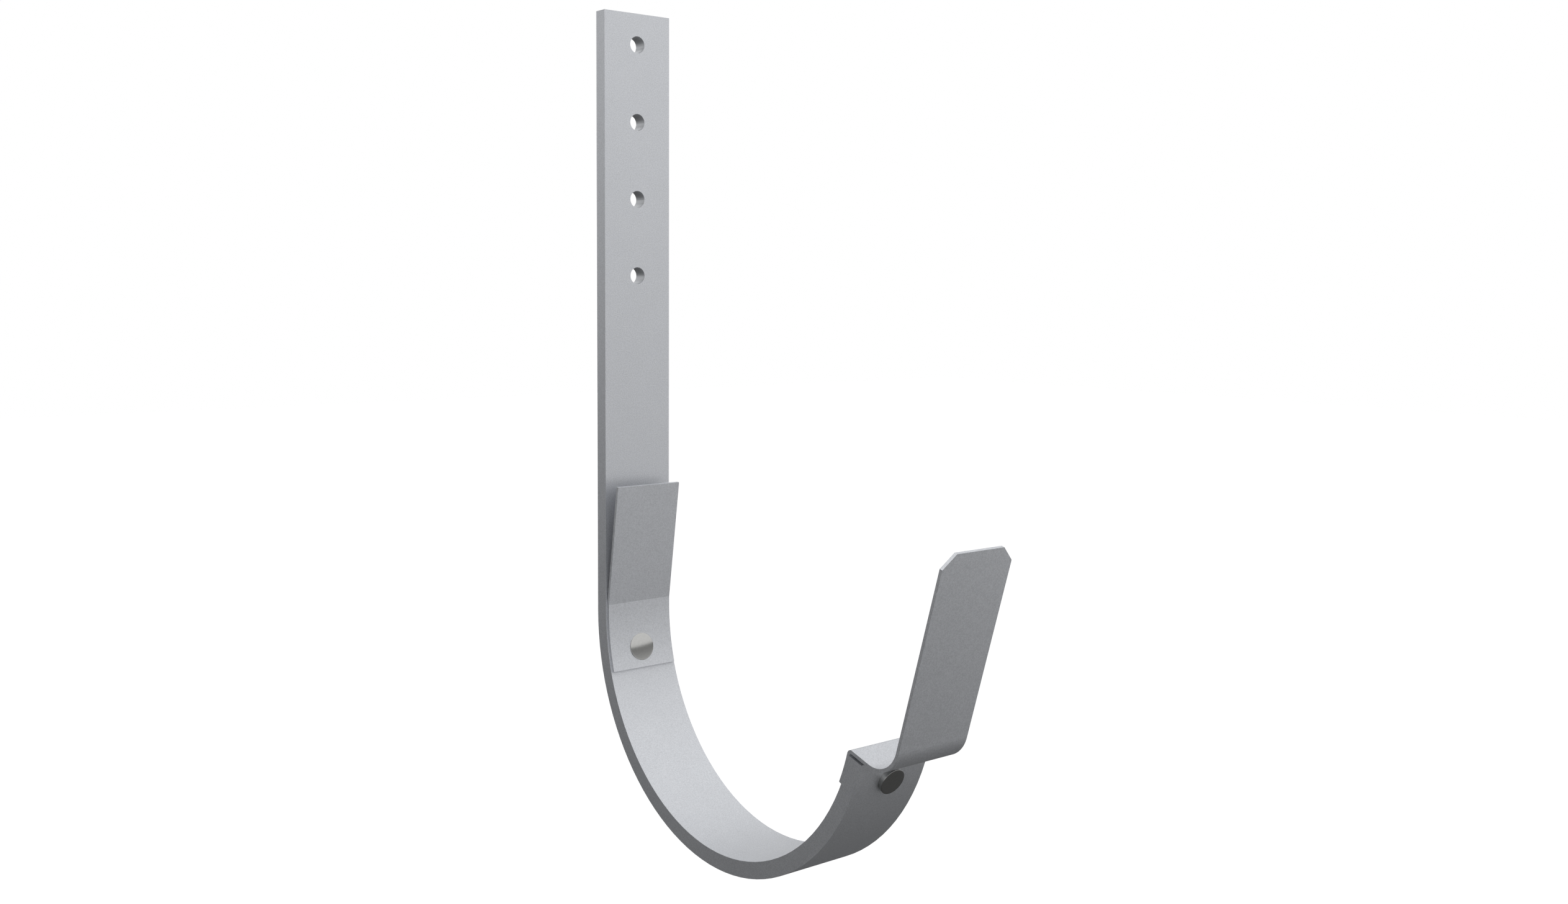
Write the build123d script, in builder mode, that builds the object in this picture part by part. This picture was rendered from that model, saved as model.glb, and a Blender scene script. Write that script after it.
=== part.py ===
from build123d import *

import os
from math import asin, cos, degrees, radians, sin, tan

os.makedirs("parts", exist_ok=True)

# Gutter bracket for a half-round gutter, in millimetres. The shank's back face lies in the plane
# x = 0 against the wall, +X points from the wall to the gutter's front edge and +Z points up.
# The origin is the middle of the row of screw holes, on the back face.

# Flat bar
bar_width = 25.0
bar_t = 5.0
shank_length = 196.0  # straight part, from its top end down to the start of the bend
gutter_r = 62.5  # inside radius of the bend, half of a 125 mm gutter
hook_end_angle = 16.5  # the bend stops this many degrees below the level of its centre

# Screw holes in the shank
hole_d = 5.5
hole_pitch = 25.0
hole_count = 4
top_margin = 10.0  # from the top hole's centre to the shank's top end

# Strap sheet, and the radius inside its sharp bends
strap_t = 1.0
fold_inner_r = 0.5

# Rear strap, with its tongue standing off the shank
rear_width = 24.0
rear_tail = 6.9  # along the bar, from the rivet's centre down to the strap's lower end
rear_foot = 2.5  # flat on the shank, from the start of the bend up to the tongue
tongue_length = 40.0
tongue_lean = 8.4  # degrees off the shank

# Front strap, folded over the bar's end into a trough with a long leg
front_width = 25.0
front_tail = 2.5  # along the bar, from the rivet's centre down to the strap's lower end
end_gap = 0.9  # between the bar's end and the strap that crosses it
trough_width = 18.0  # outside, from the strap's tail to the leg's outer face
trough_r = 8.5  # inside radius between the trough's floor and the leg
leg_height = 65.0  # from the trough's floor to the leg's top
leg_chamfer = 4.0

# Rivets
rivet_d = 4.0
rivet_play = 0.05  # radial, between a rivet and its holes
head_edge_r = 0.12
rear_rivet_angle = 12.0  # degrees below the level of the bend's centre
rear_head_d = 9.0
rear_head_h = 0.4
sink_d = 7.0  # flush outer end of the rear rivet
sink_angle = 90.0
front_rivet_inset = 6.55  # along the bar's inner face, from its end to the rivet's centre
front_head_d = 8.0
front_head_h = 1.5
set_head_d = 6.0  # closed inner end of the front rivet
set_head_h = 0.4

# Derived radii, angles and heights
bar_outer_r = gutter_r + bar_t
bar_middle_r = gutter_r + bar_t / 2
strap_face_r = gutter_r - strap_t
strap_middle_r = gutter_r - strap_t / 2
fold_middle_r = fold_inner_r + strap_t / 2
rivet_hole_r = rivet_d / 2 + rivet_play
bend_z = (hole_count - 1) * hole_pitch / 2 + top_margin - shank_length
rear_bearing = 180 + rear_rivet_angle
front_bearing = -hook_end_angle - degrees(front_rivet_inset / gutter_r)

# The bend's centre, with the local x away from the wall and the local y upwards
bend_plane = Plane(origin=(bar_outer_r, 0, bend_z), x_dir=(1, 0, 0), z_dir=(0, -1, 0))


def radial_plane(bearing, radius):
    """Plane square to the bend's radius at a bearing in degrees from +X, facing outwards."""
    outwards = Vector(cos(radians(bearing)), 0, sin(radians(bearing)))
    return Plane(origin=bend_plane.origin + outwards * radius, x_dir=(0, 1, 0), z_dir=outwards)


def section_plane(path):
    """Plane across the start of a path, with its local x along the bar's width."""
    return Plane(origin=path @ 0, x_dir=(0, 1, 0), z_dir=path % 0)


def inner_head(bearing, diameter, height):
    """Rivet head inside the bend, its underside curved to the face of the strap it holds."""
    with BuildPart() as head:
        with BuildSketch(radial_plane(bearing, strap_face_r - height)):
            Circle(diameter / 2)
        extrude(amount=height)
        top = head.faces().sort_by_distance(bend_plane.origin)[0]
        fillet(top.edges(), head_edge_r)
        with BuildSketch(bend_plane):
            Circle(strap_face_r)
        extrude(amount=diameter, both=True, mode=Mode.INTERSECT)
    return head.part


# Hook bar: a flat bar bent to the gutter's half round and drilled for screws and rivets
with BuildPart() as hook_bar:
    with BuildLine(bend_plane):
        shank = Line((-bar_middle_r, shank_length), (-bar_middle_r, 0))
        JernArc(shank @ 1, shank % 1, bar_middle_r, 180 - hook_end_angle)
    with BuildSketch(section_plane(shank)):
        Rectangle(bar_width, bar_t)
    sweep()
    with BuildSketch(Plane.YZ):
        with GridLocations(0, hole_pitch, 1, hole_count):
            Circle(hole_d / 2)
    extrude(amount=bar_t, mode=Mode.SUBTRACT)
    with Locations(radial_plane(rear_bearing, bar_outer_r)):
        CounterSinkHole(rivet_hole_r, sink_d / 2 + rivet_play, bar_t + strap_t, sink_angle)
    with Locations(radial_plane(front_bearing, bar_outer_r)):
        Hole(rivet_hole_r, bar_t + strap_t)

hook_bar.part.label = "hook_bar"
export_step(hook_bar.part, "parts/hook_bar.step")

# Rear strap: follows the bend up to the shank, then stands off it as a straight tongue
rear_tail_bearing = rear_bearing + degrees(rear_tail / gutter_r)

with BuildPart() as rear_strap:
    with BuildLine(bend_plane):
        seat = CenterArc((0, 0), strap_middle_r, rear_tail_bearing, 180 - rear_tail_bearing)
        foot = PolarLine(seat @ 1, rear_foot, direction=seat % 1)
        crease = JernArc(foot @ 1, foot % 1, fold_middle_r, -tongue_lean)
        PolarLine(crease @ 1, tongue_length, direction=crease % 1)
    with BuildSketch(section_plane(seat)):
        Rectangle(rear_width, strap_t)
    sweep()
    with Locations(radial_plane(rear_bearing, gutter_r)):
        Hole(rivet_hole_r, 2 * strap_t)

rear_strap.part.label = "rear_strap"
export_step(rear_strap.part, "parts/rear_strap.step")

# Front strap: up the bar's inner face, over its end, along the trough's floor and up the leg.
# The gap over the bar's end lifts the fold a little along the bend, and it turns by that more.
fold_lift = degrees(asin((end_gap - fold_inner_r) / (gutter_r + fold_inner_r)))
front_tail_bearing = front_bearing - degrees(front_tail / gutter_r)
tail_sweep = fold_lift - hook_end_angle - front_tail_bearing
floor_length = trough_width - strap_t - (fold_inner_r + strap_t) - trough_r

with BuildPart() as front_strap:
    with BuildLine(bend_plane):
        tail = CenterArc((0, 0), strap_middle_r, front_tail_bearing, tail_sweep)
        fold = JernArc(tail @ 1, tail % 1, fold_middle_r, -90 - fold_lift)
        floor = PolarLine(fold @ 1, floor_length, direction=fold % 1)
        trough = JernArc(floor @ 1, floor % 1, trough_r + strap_t / 2, 90)
        leg = PolarLine(trough @ 1, leg_height - trough_r, direction=trough % 1)
    with BuildSketch(section_plane(tail)):
        Rectangle(front_width, strap_t)
    sweep()
    leg_end = front_strap.faces().sort_by(Axis(leg @ 0, leg % 0))[-1]
    chamfer(leg_end.edges().group_by(SortBy.LENGTH)[0], leg_chamfer)
    with Locations(radial_plane(front_bearing, gutter_r)):
        Hole(rivet_hole_r, 2 * strap_t)

front_strap.part.label = "front_strap"
export_step(front_strap.part, "parts/front_strap.step")

# Rear rivet: a thin head on the strap, the outer end closed flush in the bar's countersink so
# that the back face lies flat on the wall
sink_depth = (sink_d - rivet_d) / 2 / tan(radians(sink_angle / 2))

with BuildPart() as rear_rivet:
    add(inner_head(rear_bearing, rear_head_d, rear_head_h))
    with BuildSketch(radial_plane(rear_bearing, strap_face_r - rear_head_h / 2)):
        Circle(rivet_d / 2)
    extrude(amount=rear_head_h / 2 + strap_t + bar_t)
    with BuildSketch(radial_plane(rear_bearing, bar_outer_r)):
        Circle(sink_d / 2)
    extrude(amount=-sink_depth, taper=sink_angle / 2)
    with BuildSketch(bend_plane):
        Circle(bar_outer_r)
    extrude(amount=rear_head_d, both=True, mode=Mode.INTERSECT)

rear_rivet.part.label = "rear_rivet"
export_step(rear_rivet.part, "parts/rear_rivet.step")

# Front rivet: a thick flat head outside, its underside curved to the bar, and the closed inner
# end on the front strap's tail
with BuildPart() as front_rivet:
    with BuildSketch(radial_plane(front_bearing, bar_outer_r + front_head_h)):
        Circle(front_head_d / 2)
    extrude(amount=-front_head_h - bar_t / 2)
    with BuildSketch(bend_plane):
        Circle(bar_outer_r)
    extrude(amount=front_head_d, both=True, mode=Mode.SUBTRACT)
    with BuildSketch(radial_plane(front_bearing, bar_outer_r + front_head_h / 2)):
        Circle(rivet_d / 2)
    extrude(amount=-(front_head_h / 2 + bar_t + strap_t + set_head_h / 2))
    add(inner_head(front_bearing, set_head_d, set_head_h))

front_rivet.part.label = "front_rivet"
export_step(front_rivet.part, "parts/front_rivet.step")
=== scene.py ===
import logging
import math
from dataclasses import dataclass
from enum import Enum
from typing import Any

import bpy
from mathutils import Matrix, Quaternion, Vector


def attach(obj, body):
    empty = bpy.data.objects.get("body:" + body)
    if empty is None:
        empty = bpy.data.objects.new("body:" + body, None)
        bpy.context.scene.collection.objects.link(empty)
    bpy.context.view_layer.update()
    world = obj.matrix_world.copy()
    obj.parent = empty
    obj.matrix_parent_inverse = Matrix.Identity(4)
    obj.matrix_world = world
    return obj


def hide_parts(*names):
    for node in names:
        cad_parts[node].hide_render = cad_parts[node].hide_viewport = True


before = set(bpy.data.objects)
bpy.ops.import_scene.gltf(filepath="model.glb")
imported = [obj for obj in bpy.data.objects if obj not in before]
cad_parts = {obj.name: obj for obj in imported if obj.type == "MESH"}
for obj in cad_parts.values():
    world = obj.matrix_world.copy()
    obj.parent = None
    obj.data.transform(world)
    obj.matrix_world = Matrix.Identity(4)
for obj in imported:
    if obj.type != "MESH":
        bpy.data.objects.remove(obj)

Triple = tuple[float, float, float]

LOG = logging.getLogger("gutter_bracket")
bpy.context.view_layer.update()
MM = 0.001  # metres in a millimetre
BODY = "root"
WHITE = (1.0, 1.0, 1.0, 1.0)
ALL_DULL_AND_LIT = 0.9  # a face whose corners average more than this lies all on a head's edge, duller and painted lighter


class Slot(Enum):
    """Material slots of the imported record."""

    BAR = "bar_steel"
    STRAP = "strap_steel"
    RIVET = "rivet_steel"


def linear(hex_colour: str) -> tuple[float, float, float, float]:
    """Turns an sRGB hex colour such as "#aabbcc" into linear RGBA."""
    channels = [int(hex_colour[i : i + 2], 16) / 255 for i in (1, 3, 5)]
    turned = [c / 12.92 if c <= 0.04045 else ((c + 0.055) / 1.055) ** 2.4 for c in channels]
    return (*turned, 1.0)


def metres(point_mm: Triple) -> Vector:
    """Turns a point in millimetres into metres."""
    return Vector(point_mm) * MM


def add_node(
    tree: bpy.types.NodeTree,
    kind: str,
    settings: dict[str, Any] | None = None,
    inputs: dict[str | int, Any] | None = None,
) -> bpy.types.Node:
    """Adds a node, sets its properties and sets or links its inputs.

    Args:
        tree: Tree that gets the node.
        kind: Blender's type name of the node.
        settings: Properties of the node, by name.
        inputs: Values or output sockets, by the input's name or number.

    Returns:
        The new node.
    """
    node = tree.nodes.new(kind)
    for name, value in (settings or {}).items():
        setattr(node, name, value)
    for key, value in (inputs or {}).items():
        if isinstance(value, bpy.types.NodeSocket):
            tree.links.new(value, node.inputs[key])
        else:
            node.inputs[key].default_value = value
    return node


def add_maths(
    tree: bpy.types.NodeTree, operation: str, first: Any, second: Any = 0.0
) -> bpy.types.NodeSocket:
    """Adds a sum on one or two numbers.

    Args:
        tree: Tree that gets the sum.
        operation: Blender's name of the operation.
        first: A value or an output socket.
        second: The same, where the operation takes two.

    Returns:
        The result.
    """
    node = add_node(tree, "ShaderNodeMath", {"operation": operation}, {0: first, 1: second})
    return node.outputs[0]


def empty_material(name: str) -> bpy.types.Material:
    """Makes a material with an empty node tree."""
    material = bpy.data.materials.new(name)
    material.use_nodes = True
    material.node_tree.nodes.clear()
    return material


@dataclass(frozen=True)
class DrilledRow:
    """A row of drilled holes up the shank, in millimetres, centred on the origin."""

    pitch: float = 25.0
    count: int = 4  # an even number, so the holes lie half a pitch off the origin
    radius: float = 2.75
    margin: float = 0.02

    def walls(self, tree: bpy.types.NodeTree, place: bpy.types.NodeSocket) -> bpy.types.NodeSocket:
        """Adds the test for a point on a hole's wall.

        Args:
            tree: Tree of the material.
            place: The point, in Object coordinates.

        Returns:
            1 on the walls of the holes and 0 elsewhere.
        """
        axes = add_node(tree, "ShaderNodeSeparateXYZ", inputs={0: place}).outputs
        step = add_node(
            tree, "ShaderNodeMath", {"operation": "WRAP"}, {0: axes["Z"], 1: self.pitch * MM, 2: 0.0}
        )
        rise = add_maths(tree, "SUBTRACT", step.outputs[0], self.pitch / 2 * MM)
        off = add_node(tree, "ShaderNodeCombineXYZ", inputs={"Y": axes["Y"], "Z": rise})
        away = add_node(tree, "ShaderNodeVectorMath", {"operation": "LENGTH"}, {0: off.outputs[0]})
        inside = add_maths(tree, "LESS_THAN", away.outputs["Value"], (self.radius + self.margin) * MM)
        reach = add_maths(tree, "ABSOLUTE", axes["Z"])
        in_row = add_maths(tree, "LESS_THAN", reach, self.count * self.pitch / 2 * MM)
        return add_maths(tree, "MULTIPLY", inside, in_row)


@dataclass(frozen=True)
class GalvanisedSteel:
    """Hot-dip galvanised steel that has gone matt.

    The zinc gives the eye a cool grey with broad, soft reflections, a fine even grain and, over
    several millimetres, hardly visible clouds where its crystals lie differently. Holes that are
    drilled after the dip show smooth bare steel on their walls.
    """

    name: str
    light: str = "#dadce0"
    dark: str = "#c5c7cb"
    metallic: float = 0.9
    roughness: float = 0.5
    roughness_spread: float = 0.03
    grain_mm: float = 0.36  # the real grain is about 0.2 mm, too fine to show at the picture's size
    grain_detail: float = 2.0
    tone_range: tuple[float, float] = (0.35, 0.65)  # grain from the darkest tone to the lightest
    gloss_range: tuple[float, float] = (0.3, 0.7)  # grain from the smoothest spot to the roughest
    cloud_mm: float = 7.0
    cloud_detail: float = 3.0
    cloud_share: float = 0.2
    bump_mm: float = 0.004
    seed: float = 0.0
    drilled: DrilledRow | None = None
    bare: str = "#cfd1d4"
    bare_roughness: float = 0.42

    def pattern(self, tree: bpy.types.NodeTree) -> tuple[bpy.types.NodeSocket, bpy.types.NodeSocket]:
        """Adds the zinc's grain and clouds.

        Args:
            tree: Tree of the material.

        Returns:
            The grain and the clouds, each from 0 to 1.
        """
        place = add_node(tree, "ShaderNodeTexCoord").outputs["Object"]
        grain, cloud = (
            add_node(
                tree,
                "ShaderNodeTexNoise",
                {"noise_dimensions": "4D"},
                {"Vector": place, "W": self.seed, "Scale": 1 / (size * MM), "Detail": detail},
            ).outputs[0]
            for size, detail in (
                (self.grain_mm, self.grain_detail),
                (self.cloud_mm, self.cloud_detail),
            )
        )
        return grain, cloud

    def material(self) -> bpy.types.Material:
        """Builds the finish."""
        material = empty_material(self.name)
        tree = material.node_tree
        grain, cloud = self.pattern(tree)
        darkest, lightest = self.tone_range
        smoothest, roughest = self.gloss_range
        sharp = add_node(
            tree, "ShaderNodeMapRange", inputs={"Value": grain, "From Min": darkest, "From Max": lightest}
        )
        tone = add_node(
            tree,
            "ShaderNodeMix",
            {"data_type": "FLOAT"},
            {0: self.cloud_share, 2: sharp.outputs[0], 3: cloud},
        )
        zinc = add_node(
            tree,
            "ShaderNodeMix",
            {"data_type": "RGBA"},
            {0: tone.outputs[0], 6: linear(self.dark), 7: linear(self.light)},
        )
        colour = zinc.outputs[2]
        roughness = add_node(
            tree,
            "ShaderNodeMapRange",
            inputs={
                "Value": grain,
                "From Min": smoothest,
                "From Max": roughest,
                "To Min": self.roughness - self.roughness_spread,
                "To Max": self.roughness + self.roughness_spread,
            },
        ).outputs[0]
        if self.drilled:
            walls = self.drilled.walls(tree, add_node(tree, "ShaderNodeTexCoord").outputs["Object"])
            colour = add_node(
                tree, "ShaderNodeMix", {"data_type": "RGBA"}, {0: walls, 6: colour, 7: linear(self.bare)}
            ).outputs[2]
            roughness = add_node(
                tree,
                "ShaderNodeMix",
                {"data_type": "FLOAT"},
                {0: walls, 2: roughness, 3: self.bare_roughness},
            ).outputs[0]
        bump = add_node(
            tree,
            "ShaderNodeBump",
            inputs={"Strength": 1.0, "Distance": self.bump_mm * MM, "Height": grain},
        )
        shader = add_node(
            tree,
            "ShaderNodeBsdfPrincipled",
            inputs={
                "Base Color": colour,
                "Metallic": self.metallic,
                "Roughness": roughness,
                "Normal": bump.outputs[0],
            },
        )
        add_node(tree, "ShaderNodeOutputMaterial", inputs={"Surface": shader.outputs[0]})
        return material


@dataclass(frozen=True)
class PressedSteel:
    """Bare steel of the rivets.

    Where the tool has pressed it smooth, it gives the eye a neutral grey and a clear, slightly
    blurred picture of what is round it. The edge of a head, where the steel has flowed, is duller,
    and its copy of this finish is lighter as well, which is painted light on the sides of the heads.
    """

    name: str
    light: str = "#bfbfbd"
    dark: str = "#b5b5b3"
    roughness: float = 0.1
    grain_mm: float = 0.6
    grain_detail: float = 2.0

    def material(self) -> bpy.types.Material:
        """Builds the finish."""
        material = empty_material(self.name)
        tree = material.node_tree
        place = add_node(tree, "ShaderNodeTexCoord").outputs["Object"]
        grain = add_node(
            tree,
            "ShaderNodeTexNoise",
            inputs={"Vector": place, "Scale": 1 / (self.grain_mm * MM), "Detail": self.grain_detail},
        )
        colour = add_node(
            tree,
            "ShaderNodeMix",
            {"data_type": "RGBA"},
            {0: grain.outputs[0], 6: linear(self.dark), 7: linear(self.light)},
        )
        shader = add_node(
            tree,
            "ShaderNodeBsdfPrincipled",
            inputs={"Base Color": colour.outputs[2], "Metallic": 1.0, "Roughness": self.roughness},
        )
        add_node(tree, "ShaderNodeOutputMaterial", inputs={"Surface": shader.outputs[0]})
        return material


@dataclass(frozen=True)
class Corner:
    """One corner of a rivet's half section, in millimetres, and the run from it to the next."""

    out: float  # from the rivet's axis
    depth: float  # inwards from the bar's outer face
    seat_r: float = 0.0  # radius of the curved face that it follows, or 0 for none
    rounding: float = 0.0  # taken off each of the two runs that meet here
    steps: int = 1
    bulge: float = 0.0  # equal to the run's rise, it makes a crown that is level at its end
    dull_and_lit: bool = False  # the run is the edge of a head: duller where the steel has flowed, and painted lighter

    def place(self) -> Vector:
        """Its place in the half section, with how much it follows the curved face.

        A face of radius r rises by half of x * x / r at x from the axis.
        """
        follow = 1 / (2 * self.seat_r) if self.seat_r else 0.0
        return Vector((self.out, self.depth, follow))


@dataclass(frozen=True)
class Rivet:
    """A rivet: where it stands in the bend and the half section that it is turned from."""

    name: str
    node: str
    bearing: float  # degrees from +X, about the bend's centre
    corners: tuple[Corner, ...]
    rounding_steps: int = 4

    def section(self) -> list[tuple[Vector, float]]:
        """Rounds the corners and divides the runs between them.

        Returns:
            Each point of the half section, from pole to pole, and 1 for an edge of a head (duller and painted
            lighter) or 0.
        """
        runs: list[tuple[Vector, Vector, Corner]] = []
        points: list[tuple[Vector, float]] = []
        for corner, after in zip(self.corners, self.corners[1:]):
            start, end = corner.place(), after.place()
            length = (end - start).to_2d().length
            trimmed = end.lerp(start, after.rounding / length)
            runs.append((start.lerp(end, corner.rounding / length), trimmed, corner))
        for number, (start, end, corner) in enumerate(runs):
            for step in range(corner.steps + 1):
                share = step / corner.steps
                point = start.lerp(end, share)
                point.y += corner.bulge * share * (1 - share)
                points.append((point, float(corner.dull_and_lit)))
            if number + 1 < len(runs) and runs[number + 1][2].rounding:
                middle, next_start = runs[number + 1][2].place(), runs[number + 1][0]
                for step in range(1, self.rounding_steps):
                    share = step / self.rounding_steps
                    point = end.lerp(middle, share).lerp(middle.lerp(next_start, share), share)
                    points.append((point, 0.0))
        return points


def turned_tree() -> bpy.types.NodeTree:
    """Builds the tree that turns a half section round its axis.

    The half section is the object's own mesh, a row of points with their distance from the axis in
    X and their height in Z, and two attributes: follow, how much a point follows the curved face
    that the rivet seats on, and dull_and_lit, 1 on a head's edge, which gets the duller finish
    that is also painted lighter. Lengths are in metres.

    Returns:
        The tree, which ends in Realize Instances and Set Material.
    """
    tree = bpy.data.node_groups.new("turned_rivet", "GeometryNodeTree")
    ports = tree.interface
    ports.new_socket("Geometry", in_out="OUTPUT", socket_type="NodeSocketGeometry")
    ports.new_socket("Half section", in_out="INPUT", socket_type="NodeSocketGeometry")
    for name in ("Points", "Sides"):
        ports.new_socket(name, in_out="INPUT", socket_type="NodeSocketInt")
    ports.new_socket("Weld", in_out="INPUT", socket_type="NodeSocketFloat")
    for name in ("Foot place", "Turn"):
        ports.new_socket(name, in_out="INPUT", socket_type="NodeSocketVector")
    for name in ("Finish", "Edge finish"):
        ports.new_socket(name, in_out="INPUT", socket_type="NodeSocketMaterial")
    given = add_node(tree, "NodeGroupInput").outputs

    columns = add_maths(tree, "ADD", given["Sides"], 1.0)
    grid = add_node(
        tree, "GeometryNodeMeshGrid", inputs={"Vertices X": given["Points"], "Vertices Y": columns}
    )
    # The grid is numbered row by row and each row makes one ring. The half keeps a quotient that
    # comes out a hair too small from falling to the row before.
    index = add_node(tree, "GeometryNodeInputIndex").outputs[0]
    ring = add_maths(tree, "DIVIDE", add_maths(tree, "ADD", index, 0.5), columns)
    ring = add_maths(tree, "FLOOR", ring)
    turn = add_maths(tree, "MULTIPLY", add_maths(tree, "MODULO", index, columns), -math.tau)
    turn = add_maths(tree, "DIVIDE", turn, given["Sides"])
    sampled = []
    for kind, source in (
        ("FLOAT_VECTOR", add_node(tree, "GeometryNodeInputPosition").outputs[0]),
        ("FLOAT", add_node(tree, "GeometryNodeInputNamedAttribute", inputs={"Name": "follow"}).outputs[0]),
        ("FLOAT", add_node(tree, "GeometryNodeInputNamedAttribute", inputs={"Name": "dull_and_lit"}).outputs[0]),
    ):
        sample = add_node(
            tree,
            "GeometryNodeSampleIndex",
            {"data_type": kind},
            {"Geometry": given["Half section"], "Value": source, "Index": ring},
        )
        sampled.append(sample.outputs[0])
    place = add_node(tree, "ShaderNodeSeparateXYZ", inputs={0: sampled[0]}).outputs
    x = add_maths(tree, "MULTIPLY", place["X"], add_maths(tree, "COSINE", turn))
    y = add_maths(tree, "MULTIPLY", place["X"], add_maths(tree, "SINE", turn))
    curved = add_maths(tree, "MULTIPLY", add_maths(tree, "MULTIPLY", x, x), sampled[1])
    z = add_maths(tree, "ADD", place["Z"], curved)
    spot = add_node(tree, "ShaderNodeCombineXYZ", inputs={"X": x, "Y": y, "Z": z})
    marked = add_node(
        tree,
        "GeometryNodeStoreNamedAttribute",
        {"data_type": "FLOAT", "domain": "POINT"},
        {"Geometry": grid.outputs["Mesh"], "Name": "dull_and_lit_edge", "Value": sampled[2]},
    )
    turned = add_node(
        tree, "GeometryNodeSetPosition", inputs={"Geometry": marked.outputs[0], "Position": spot.outputs[0]}
    )
    welded = add_node(
        tree, "GeometryNodeMergeByDistance", inputs={"Geometry": turned.outputs[0], "Distance": given["Weld"]}
    )
    placed = add_node(
        tree,
        "GeometryNodeTransform",
        inputs={"Geometry": welded.outputs[0], "Translation": given["Foot place"], "Rotation": given["Turn"]},
    )
    realized = add_node(tree, "GeometryNodeRealizeInstances", inputs={0: placed.outputs[0]})
    dressed = add_node(
        tree,
        "GeometryNodeSetMaterial",
        inputs={"Geometry": realized.outputs[0], "Material": given["Finish"]},
    )
    # The heads' edges get the edge finish: duller steel, and painted lighter as light on their sides.
    dull_and_lit = add_node(tree, "GeometryNodeInputNamedAttribute", inputs={"Name": "dull_and_lit_edge"}).outputs[0]
    edged = add_node(
        tree,
        "GeometryNodeSetMaterial",
        inputs={
            "Geometry": dressed.outputs[0],
            "Selection": add_maths(tree, "GREATER_THAN", dull_and_lit, ALL_DULL_AND_LIT),
            "Material": given["Edge finish"],
        },
    )
    add_node(tree, "NodeGroupOutput", inputs={0: edged.outputs[0]})
    return tree


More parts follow.
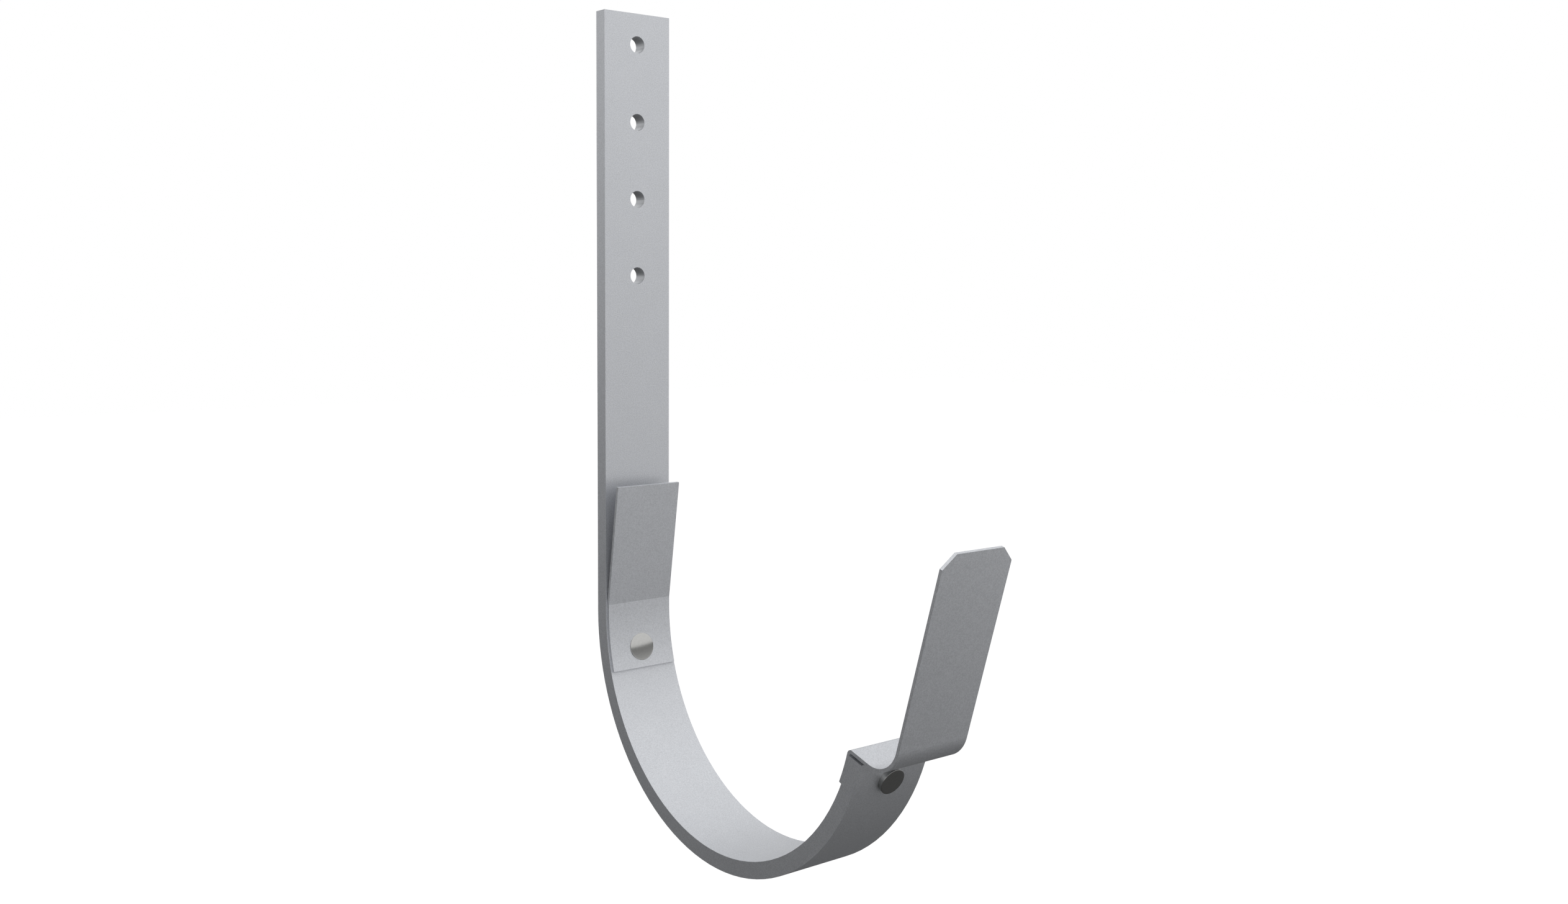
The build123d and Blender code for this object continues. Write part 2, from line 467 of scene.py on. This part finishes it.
@dataclass(frozen=True)
class Bracket:
    """The bracket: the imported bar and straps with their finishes, and its two rivets.

    Sizes are in millimetres. Bearings are in degrees from +X about the bend's centre.
    """

    bend_centre: Triple = (67.5, 0.0, -148.5)
    bar_outer_r: float = 67.5
    strap_face_r: float = 61.5
    rivet_shank_d: float = 4.0
    rivet_sides: int = 72
    rivet_rings: int = 8
    rivet_edge: float = 0.12
    rivet_weld: float = 0.001  # points nearer than this become one
    seat_steps: int = 3
    sink_steps: int = 4
    sharp_angle: float = 35.0  # degrees between faces above which their edge is sharp
    rear_bearing: float = 192.0
    rear_head_d: float = 9.0
    rear_head_h: float = 0.4
    rear_crown: float = 0.14
    sink_d: float = 7.0
    sink_depth: float = 1.5
    front_bearing: float = -22.5
    front_head_d: float = 8.0
    front_head_h: float = 1.5
    set_head_d: float = 6.0
    set_head_h: float = 0.4
    zinc_bar: GalvanisedSteel = GalvanisedSteel("matt_galvanised_bar", drilled=DrilledRow())
    zinc_sheet: GalvanisedSteel = GalvanisedSteel("matt_galvanised_sheet", seed=3.0)
    steel: PressedSteel = PressedSteel("pressed_rivet_steel")
    # The heads' edges are duller where the steel has flowed, and lighter than the rivet's grey as painted
    # light on the sides of the heads.
    edge_steel: PressedSteel = PressedSteel(
        "upset_rivet_edge_painted_light", light="#dadad8", dark="#c6c6c4", roughness=0.42
    )

    def grip(self) -> float:
        """Thickness that a rivet holds, bar and strap together."""
        return self.bar_outer_r - self.strap_face_r

    def inner_head(self, width: float, height: float, crown: float = 0.0) -> tuple[Corner, ...]:
        """Half section of a head on the strap, from the shank to the pole.

        Args:
            width: Its diameter.
            height: Its height at the pole.
            crown: How much lower its rim is.

        Returns:
            The corners.
        """
        foot, rim = self.grip(), self.grip() + height - crown
        rounding = min(self.rivet_edge, height - crown)
        return (
            Corner(self.rivet_shank_d / 2, foot, self.strap_face_r, steps=self.seat_steps),
            Corner(width / 2, foot, self.strap_face_r, dull_and_lit=True),
            Corner(width / 2, rim, rounding=rounding, steps=self.rivet_rings, bulge=crown),
            Corner(0.0, self.grip() + height),
        )

    def rear_rivet(self) -> Rivet:
        """The rear rivet, closed flush in the bar's countersink at the back."""
        flush = (
            Corner(0.0, 0.0, self.bar_outer_r, steps=self.sink_steps),
            Corner(self.sink_d / 2, 0.0, self.bar_outer_r),
            Corner(self.rivet_shank_d / 2, self.sink_depth),
        )
        head = self.inner_head(self.rear_head_d, self.rear_head_h, self.rear_crown)
        return Rivet("rear_rivet_turned", "rear_rivet", self.rear_bearing, flush + head)

    def front_rivet(self) -> Rivet:
        """The front rivet, with its thick head outside and its closed end on the strap's tail."""
        head = (
            Corner(0.0, -self.front_head_h, steps=self.rivet_rings),
            Corner(self.front_head_d / 2, -self.front_head_h, rounding=self.rivet_edge, dull_and_lit=True),
            Corner(self.front_head_d / 2, 0.0, self.bar_outer_r, steps=self.seat_steps),
            Corner(self.rivet_shank_d / 2, 0.0, self.bar_outer_r),
        )
        closed = self.inner_head(self.set_head_d, self.set_head_h)
        return Rivet("front_rivet_turned", "front_rivet", self.front_bearing, head + closed)

    def make_rivet(
        self, rivet: Rivet, tree: bpy.types.NodeTree, finish: bpy.types.Material, edge: bpy.types.Material
    ) -> bpy.types.Object:
        """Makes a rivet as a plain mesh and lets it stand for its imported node.

        Args:
            rivet: The rivet's place and half section.
            tree: Tree that turns it.
            finish: Material of the rivet.
            edge: Material of its heads' edges.

        Returns:
            The finished piece.
        """
        section = rivet.section()
        mesh = bpy.data.meshes.new(rivet.name)
        mesh.from_pydata([(p.x * MM, 0.0, p.y * MM) for p, _ in section], [], [])
        follow = mesh.attributes.new("follow", "FLOAT", "POINT")
        follow.data.foreach_set("value", [p.z / MM for p, _ in section])
        dull_and_lit = mesh.attributes.new("dull_and_lit", "FLOAT", "POINT")
        dull_and_lit.data.foreach_set("value", [flag for _, flag in section])
        piece = bpy.data.objects.new(rivet.name, mesh)
        bpy.context.scene.collection.objects.link(piece)
        bearing = math.radians(rivet.bearing)
        outwards = Vector((math.cos(bearing), 0.0, math.sin(bearing)))
        turn = Quaternion((0, 1, 0), math.atan2(-outwards.x, -outwards.z))
        values = {
            "Points": len(section),
            "Sides": self.rivet_sides,
            "Weld": self.rivet_weld * MM,
            "Foot place": metres(self.bend_centre) + outwards * self.bar_outer_r * MM,
            "Turn": Vector(turn.to_euler()),
            "Finish": finish,
            "Edge finish": edge,
        }
        ports = {s.name: s.identifier for s in tree.interface.items_tree if s.in_out == "INPUT"}
        modifier = piece.modifiers.new("turned", "NODES")
        modifier.node_group = tree
        for name, value in values.items():
            modifier[ports[name]] = value
        solid = bpy.data.meshes.new_from_object(piece.evaluated_get(bpy.context.evaluated_depsgraph_get()))
        piece.modifiers.clear()
        piece.data = solid
        solid.shade_smooth()
        solid.set_sharp_from_angle(angle=math.radians(self.sharp_angle))
        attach(piece, BODY)
        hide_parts(rivet.node)
        LOG.info("%s: %d faces, stands for %s", rivet.name, len(solid.polygons), rivet.node)
        return piece

    def dress(self, node: str, finish: bpy.types.Material) -> None:
        """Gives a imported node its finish.

        Args:
            node: Name of the node.
            finish: Its material.
        """
        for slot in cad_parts[node].material_slots:
            slot.material = finish
        LOG.info("%s: %s", node, finish.name)

    def build(self) -> None:
        """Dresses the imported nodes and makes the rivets."""
        self.dress("hook_bar", self.zinc_bar.material())
        sheet = self.zinc_sheet.material()
        self.dress("rear_strap", sheet)
        self.dress("front_strap", sheet)
        tree = turned_tree()
        steel, edge_steel = self.steel.material(), self.edge_steel.material()
        for rivet in (self.rear_rivet(), self.front_rivet()):
            self.make_rivet(rivet, tree, steel, edge_steel)


@dataclass(frozen=True)
class Lamp:
    """A soft box: a square area lamp, in metres and watts."""

    name: str
    place: Triple
    aim: Triple
    side: float
    power: float

    def build(self) -> None:
        """Adds the lamp to the scene."""
        data = bpy.data.lights.new(self.name, "AREA")
        data.size = self.side
        data.energy = self.power
        lamp = bpy.data.objects.new(self.name, data)
        lamp.location = self.place
        lamp.rotation_mode = "QUATERNION"
        lamp.rotation_quaternion = (Vector(self.aim) - lamp.location).to_track_quat("-Z", "Y")
        bpy.context.scene.collection.objects.link(lamp)


@dataclass(frozen=True)
class Camera:
    """The camera, solved from the bar's edges in the photograph."""

    eye_mm: Triple = (423.638, -272.638, -41.547)
    azimuth: float = 51.3411
    elevation: float = 4.4194
    roll: float = -0.3737
    lens: float = 34.4577
    sensor: float = 36.0
    shift_y: float = -0.03
    clip: tuple[float, float] = (0.01, 100.0)  # metres

    def build(self) -> None:
        """Adds the camera and makes it the scene's."""
        data = bpy.data.cameras.new("camera")
        data.sensor_width = self.sensor
        data.sensor_fit = "HORIZONTAL"
        data.lens = self.lens
        data.shift_y = self.shift_y
        data.clip_start, data.clip_end = self.clip
        azimuth, elevation = math.radians(self.azimuth), math.radians(self.elevation)
        level = math.cos(elevation)
        ahead = Vector((-math.sin(azimuth) * level, math.cos(azimuth) * level, -math.sin(elevation)))
        camera = bpy.data.objects.new("camera", data)
        camera.location = metres(self.eye_mm)
        camera.rotation_mode = "QUATERNION"
        tilt = Quaternion((0, 0, 1), -math.radians(self.roll))
        camera.rotation_quaternion = ahead.to_track_quat("-Z", "Y") @ tilt
        bpy.context.scene.collection.objects.link(camera)
        bpy.context.scene.camera = camera


@dataclass(frozen=True)
class GreyBowl:
    """A leaning bowl of grey card under the bracket, as a photographer hangs one for metal alone.

    Everything above its rim is the white studio. The card is dark along its rim, nearly white a
    little below and dark again at its bottom. The rim is low where the bowl leans to and high at
    the other side, so that the metal's faces differ in tone by the way they face.
    """

    centre: Triple = (0.08, 0.0, -0.09)
    radius: float = 1.1
    tilt: float = 16.0  # degrees that it leans
    towards: float = 42.0  # degrees from +X, where its rim is lowest
    # The card's tones from its bottom up to its rim, each with the degrees above its centre
    tones: tuple[tuple[float, float], ...] = ((-90.0, 0.03), (-25.0, 0.1), (6.0, 0.83), (19.7, 0.2))
    sides: int = 96
    rings: int = 32

    def rise(self, degrees: float) -> float:
        """Height in the bowl at an angle above its centre."""
        return self.radius * math.sin(math.radians(degrees))

    def material(self) -> bpy.types.Material:
        """Builds the grey card, whose tone goes by the height in the bowl."""
        material = empty_material("graded_grey_card")
        tree = material.node_tree
        place = add_node(tree, "ShaderNodeTexCoord").outputs["Object"]
        height = add_node(tree, "ShaderNodeSeparateXYZ", inputs={0: place}).outputs["Z"]
        bottom, rim = self.rise(self.tones[0][0]), self.rise(self.tones[-1][0])
        share = add_node(
            tree, "ShaderNodeMapRange", inputs={"Value": height, "From Min": bottom, "From Max": rim}
        )
        card = add_node(tree, "ShaderNodeValToRGB", inputs={0: share.outputs[0]})
        stops = card.color_ramp.elements
        while len(stops) < len(self.tones):
            stops.new(1.0)
        for stop, (degrees, tone) in zip(stops, self.tones):
            stop.position = (self.rise(degrees) - bottom) / (rim - bottom)
            stop.color = (tone, tone, tone, 1.0)
        lit = add_node(tree, "ShaderNodeEmission", inputs={"Color": card.outputs[0], "Strength": 1.0})
        add_node(tree, "ShaderNodeOutputMaterial", inputs={"Surface": lit.outputs[0]})
        return material

    def build(self) -> None:
        """Adds the bowl, which lets the camera and the light of the lamps through."""
        points = [(0.0, 0.0, -self.radius)]
        for ring in range(1, self.rings + 1):
            height = math.radians(-90 + (90 + self.tones[-1][0]) * ring / self.rings)
            level = self.radius * math.cos(height)
            rise = self.radius * math.sin(height)
            for side in range(self.sides):
                turn = math.tau * side / self.sides
                points.append((level * math.cos(turn), level * math.sin(turn), rise))
        faces: list[tuple[int, ...]] = []
        for side in range(self.sides):
            after = (side + 1) % self.sides
            faces.append((0, 1 + side, 1 + after))
            for ring in range(self.rings - 1):
                low, high = 1 + ring * self.sides, 1 + (ring + 1) * self.sides
                faces.append((low + side, high + side, high + after, low + after))
        mesh = bpy.data.meshes.new("grey_bowl")
        mesh.from_pydata(points, [], faces)
        mesh.materials.append(self.material())
        bowl = bpy.data.objects.new("grey_bowl", mesh)
        bowl.location = self.centre
        bowl.rotation_mode = "QUATERNION"
        towards = math.radians(self.towards)
        bowl.rotation_quaternion = Quaternion(
            (-math.sin(towards), math.cos(towards), 0.0), math.radians(self.tilt)
        )
        bowl.visible_camera = False
        bowl.visible_diffuse = False
        bowl.visible_transmission = False
        bowl.visible_shadow = False
        bpy.context.scene.collection.objects.link(bowl)


@dataclass(frozen=True)
class Studio:
    """A white studio, in metres: the world, the floor, the grey bowl, the lamps and the camera."""

    floor_z: float = -1.3
    floor_side: float = 30.0
    floor_colour: str = "#f2f2f2"
    floor_glow: float = 0.3
    ambient: float = 0.85
    bowl: GreyBowl = GreyBowl()
    lamps: tuple[Lamp, ...] = (
        Lamp("top_soft_box", place=(0.3, -0.3, 1.2), aim=(0.08, 0.0, -0.1), side=1.2, power=2.0),
    )
    camera: Camera = Camera()

    def shown(self, tree: bpy.types.NodeTree) -> bpy.types.NodeSocket:
        """Adds the test for rays that show the background: straight, mirrored or let through.

        Args:
            tree: Tree of the world or the floor.

        Returns:
            1 for such a ray and 0 for any other.
        """
        rays = add_node(tree, "ShaderNodeLightPath").outputs
        either = add_maths(tree, "MAXIMUM", rays["Is Camera Ray"], rays["Is Glossy Ray"])
        return add_maths(tree, "MAXIMUM", either, rays["Is Transmission Ray"])

    def build_world(self) -> None:
        """Makes the world white where it shows and an even fill light elsewhere."""
        world = bpy.data.worlds.new("studio")
        world.use_nodes = True
        tree = world.node_tree
        tree.nodes.clear()
        level = add_node(
            tree,
            "ShaderNodeMix",
            {"data_type": "FLOAT"},
            {0: self.shown(tree), 2: self.ambient, 3: 1.0},
        )
        back = add_node(
            tree,
            "ShaderNodeBackground",
            inputs={"Color": WHITE, "Strength": level.outputs[0]},
        )
        add_node(tree, "ShaderNodeOutputWorld", inputs={"Surface": back.outputs[0]})
        bpy.context.scene.world = world

    def build_floor(self) -> None:
        """Lays the pale floor, which keeps the bracket's shadow."""
        half = self.floor_side / 2
        mesh = bpy.data.meshes.new("floor")
        corners = [(x * half, y * half, self.floor_z) for x, y in ((-1, -1), (1, -1), (1, 1), (-1, 1))]
        mesh.from_pydata(corners, [], [(0, 1, 2, 3)])
        floor = bpy.data.objects.new("floor", mesh)
        bpy.context.scene.collection.objects.link(floor)
        material = empty_material("white_paper")
        tree = material.node_tree
        paper = add_node(tree, "ShaderNodeBsdfDiffuse", inputs={"Color": linear(self.floor_colour)})
        glow = add_maths(tree, "MULTIPLY", self.shown(tree), self.floor_glow)
        lit = add_node(tree, "ShaderNodeEmission", inputs={"Color": WHITE, "Strength": glow})
        both = add_node(tree, "ShaderNodeAddShader", inputs={0: paper.outputs[0], 1: lit.outputs[0]})
        add_node(tree, "ShaderNodeOutputMaterial", inputs={"Surface": both.outputs[0]})
        mesh.materials.append(material)

    def build(self) -> None:
        """Builds the studio."""
        self.build_world()
        self.build_floor()
        self.bowl.build()
        for lamp in self.lamps:
            lamp.build()
        self.camera.build()
        bpy.context.scene.view_settings.view_transform = "Standard"
        LOG.info("studio: %d lamps", len(self.lamps))


def main() -> None:
    """Builds the studio and the bracket and logs what it made."""
    logging.basicConfig(level=logging.INFO, format="%(name)s: %(message)s")
    Studio().build()
    Bracket().build()


if __name__ == "__main__":
    main()
